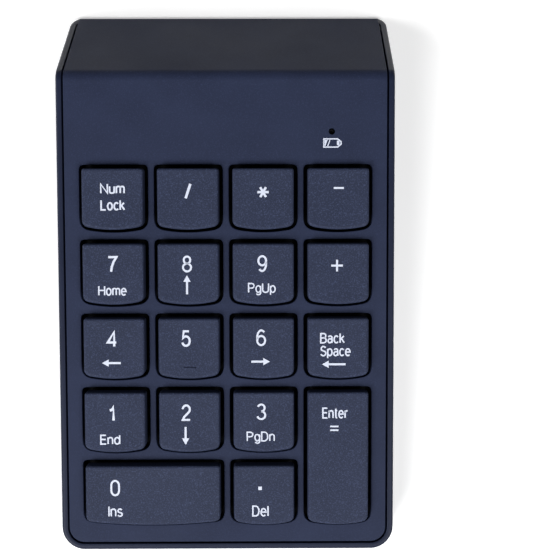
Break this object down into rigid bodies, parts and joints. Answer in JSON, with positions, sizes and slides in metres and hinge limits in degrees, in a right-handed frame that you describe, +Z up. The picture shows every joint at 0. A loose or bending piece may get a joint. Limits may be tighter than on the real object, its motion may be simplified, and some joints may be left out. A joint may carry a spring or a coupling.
{
  "type": "numeric keypad",
  "caption": "Low wedge-shaped wireless numeric keypad with separate bowed keys set in a sloping deck, a folded slanting back, battery door, slide switch and stowed USB receiver.",
  "frame": {"origin": "on the table under the centre of the keypad's outline", "axes": "+X to the user's right, +Y to the rear, +Z up"},
  "size_m": [0.0816, 0.135, 0.0254],
  "materials": {
    "cover": "fine matt texture, dark blue-grey",
    "case": "satin, darker blue-grey",
    "keycap": "fine matt texture, dark blue-grey, white legends",
    "inner_plastic": "moulded black",
    "silicone": "matt translucent grey",
    "film": "printed polyester film",
    "steel": "zinc-plated sheet",
    "spring_wire": "nickel-plated",
    "screw_steel": "dark zinc",
    "board": "green solder mask",
    "chip": "moulded package",
    "light_plastic": "natural nylon",
    "lamp": "clear lens",
    "clear_plastic": "clear moulding",
    "cell": null,
    "plug_steel": "bright folded sheet",
    "receiver_plastic": "ribbed black",
    "label": "silver film",
    "foot_rubber": "matt black"
  },
  "bodies": {
    "base": {"top_cover": "cover", "bottom_case": "case", "key_frame": "inner_plastic", "dome_sheet": "silicone", "membrane": "film", "backing_plate": "steel", "controller_board": "board", "radio_chip": "chip", "crystal": "steel", "membrane_connector": "light_plastic", "status_lamp": "lamp", "light_pipe": "clear_plastic", "power_switch_body": "steel", "cell_1": "cell", "cell_2": "cell", "cell_spring_1": "spring_wire", "cell_spring_2": "spring_wire", "bridge_contact": "spring_wire", "positive_contact": "spring_wire", "negative_contact": "spring_wire", "rating_label": "label", "case_screw_front_left": "screw_steel", "case_screw_front_right": "screw_steel", "case_screw_middle_left": "screw_steel", "case_screw_middle_right": "screw_steel", "case_screw_rear_left": "screw_steel", "case_screw_rear_right": "screw_steel", "board_screw_front": "screw_steel", "board_screw_rear": "screw_steel", "foot_front_left": "foot_rubber", "foot_front_right": "foot_rubber", "foot_rear_left": "foot_rubber", "foot_rear_right": "foot_rubber"},
    "key_num_lock": {"key_num_lock": "keycap"},
    "key_divide": {"key_divide": "keycap"},
    "key_multiply": {"key_multiply": "keycap"},
    "key_subtract": {"key_subtract": "keycap"},
    "key_7": {"key_7": "keycap"},
    "key_8": {"key_8": "keycap"},
    "key_9": {"key_9": "keycap"},
    "key_add": {"key_add": "keycap"},
    "key_4": {"key_4": "keycap"},
    "key_5": {"key_5": "keycap"},
    "key_6": {"key_6": "keycap"},
    "key_backspace": {"key_backspace": "keycap"},
    "key_1": {"key_1": "keycap"},
    "key_2": {"key_2": "keycap"},
    "key_3": {"key_3": "keycap"},
    "key_enter": {"key_enter": "keycap"},
    "key_0": {"key_0": "keycap"},
    "key_decimal": {"key_decimal": "keycap"},
    "levelling_wire_0": {"levelling_wire_0": "spring_wire"},
    "levelling_wire_enter": {"levelling_wire_enter": "spring_wire"},
    "battery_door": {"battery_door": "case"},
    "power_switch": {"power_switch_slider": "inner_plastic"},
    "receiver": {"receiver_shell": "plug_steel", "receiver_cap": "receiver_plastic", "receiver_tongue": "chip"}
  },
  "joints": [
    {"name": "key_num_lock_press", "type": "slide", "parent": "base", "child": "key_num_lock", "axis": [0, -0.1219, 0.9925], "range_m": [-0.0022, 0], "stiffness_N_per_m": 200, "springref_m": 0.001, "deforming": ["dome_sheet"]},
    {"name": "key_divide_press", "type": "slide", "parent": "base", "child": "key_divide", "axis": [0, -0.1219, 0.9925], "range_m": [-0.0022, 0], "stiffness_N_per_m": 200, "springref_m": 0.001, "deforming": ["dome_sheet"]},
    {"name": "key_multiply_press", "type": "slide", "parent": "base", "child": "key_multiply", "axis": [0, -0.1219, 0.9925], "range_m": [-0.0022, 0], "stiffness_N_per_m": 200, "springref_m": 0.001, "deforming": ["dome_sheet"]},
    {"name": "key_subtract_press", "type": "slide", "parent": "base", "child": "key_subtract", "axis": [0, -0.1219, 0.9925], "range_m": [-0.0022, 0], "stiffness_N_per_m": 200, "springref_m": 0.001, "deforming": ["dome_sheet"]},
    {"name": "key_7_press", "type": "slide", "parent": "base", "child": "key_7", "axis": [0, -0.1219, 0.9925], "range_m": [-0.0022, 0], "stiffness_N_per_m": 200, "springref_m": 0.001, "deforming": ["dome_sheet"]},
    {"name": "key_8_press", "type": "slide", "parent": "base", "child": "key_8", "axis": [0, -0.1219, 0.9925], "range_m": [-0.0022, 0], "stiffness_N_per_m": 200, "springref_m": 0.001, "deforming": ["dome_sheet"]},
    {"name": "key_9_press", "type": "slide", "parent": "base", "child": "key_9", "axis": [0, -0.1219, 0.9925], "range_m": [-0.0022, 0], "stiffness_N_per_m": 200, "springref_m": 0.001, "deforming": ["dome_sheet"]},
    {"name": "key_add_press", "type": "slide", "parent": "base", "child": "key_add", "axis": [0, -0.1219, 0.9925], "range_m": [-0.0022, 0], "stiffness_N_per_m": 200, "springref_m": 0.001, "deforming": ["dome_sheet"]},
    {"name": "key_4_press", "type": "slide", "parent": "base", "child": "key_4", "axis": [0, -0.1219, 0.9925], "range_m": [-0.0022, 0], "stiffness_N_per_m": 200, "springref_m": 0.001, "deforming": ["dome_sheet"]},
    {"name": "key_5_press", "type": "slide", "parent": "base", "child": "key_5", "axis": [0, -0.1219, 0.9925], "range_m": [-0.0022, 0], "stiffness_N_per_m": 200, "springref_m": 0.001, "deforming": ["dome_sheet"]},
    {"name": "key_6_press", "type": "slide", "parent": "base", "child": "key_6", "axis": [0, -0.1219, 0.9925], "range_m": [-0.0022, 0], "stiffness_N_per_m": 200, "springref_m": 0.001, "deforming": ["dome_sheet"]},
    {"name": "key_backspace_press", "type": "slide", "parent": "base", "child": "key_backspace", "axis": [0, -0.1219, 0.9925], "range_m": [-0.0022, 0], "stiffness_N_per_m": 200, "springref_m": 0.001, "deforming": ["dome_sheet"]},
    {"name": "key_1_press", "type": "slide", "parent": "base", "child": "key_1", "axis": [0, -0.1219, 0.9925], "range_m": [-0.0022, 0], "stiffness_N_per_m": 200, "springref_m": 0.001, "deforming": ["dome_sheet"]},
    {"name": "key_2_press", "type": "slide", "parent": "base", "child": "key_2", "axis": [0, -0.1219, 0.9925], "range_m": [-0.0022, 0], "stiffness_N_per_m": 200, "springref_m": 0.001, "deforming": ["dome_sheet"]},
    {"name": "key_3_press", "type": "slide", "parent": "base", "child": "key_3", "axis": [0, -0.1219, 0.9925], "range_m": [-0.0022, 0], "stiffness_N_per_m": 200, "springref_m": 0.001, "deforming": ["dome_sheet"]},
    {"name": "key_enter_press", "type": "slide", "parent": "base", "child": "key_enter", "axis": [0, -0.1219, 0.9925], "range_m": [-0.0022, 0], "stiffness_N_per_m": 200, "springref_m": 0.001, "deforming": ["dome_sheet"]},
    {"name": "key_0_press", "type": "slide", "parent": "base", "child": "key_0", "axis": [0, -0.1219, 0.9925], "range_m": [-0.0022, 0], "stiffness_N_per_m": 200, "springref_m": 0.001, "deforming": ["dome_sheet"]},
    {"name": "key_decimal_press", "type": "slide", "parent": "base", "child": "key_decimal", "axis": [0, -0.1219, 0.9925], "range_m": [-0.0022, 0], "stiffness_N_per_m": 200, "springref_m": 0.001, "deforming": ["dome_sheet"]},
    {"name": "levelling_wire_0_turn", "type": "hinge", "parent": "base", "child": "levelling_wire_0", "pos_m": [-0.018, -0.04992, 0.01046], "axis": [1, 0, 0], "range_deg": [0, 16]},
    {"name": "levelling_wire_enter_turn", "type": "hinge", "parent": "base", "child": "levelling_wire_enter", "pos_m": [0.0301, -0.04406, 0.01117], "axis": [0, -0.9925, -0.1219], "range_deg": [0, 16]},
    {"name": "battery_door_swing", "type": "hinge", "parent": "base", "child": "battery_door", "pos_m": [-0.005, 0.03045, 0.001], "axis": [-1, 0, 0], "range_deg": [0, 75]},
    {"name": "power_switch_slide", "type": "slide", "parent": "base", "child": "power_switch", "axis": [1, 0, 0], "range_m": [0, 0.004]},
    {"name": "receiver_pull_out", "type": "slide", "parent": "base", "child": "receiver", "axis": [0, 0, -1], "range_m": [0, 0.012]}
  ],
  "couplings": [
    {"joint": "levelling_wire_0_turn", "follows": "key_0_press", "rad_per_m": -126.6},
    {"joint": "levelling_wire_enter_turn", "follows": "key_enter_press", "rad_per_m": -126.6}
  ]
}
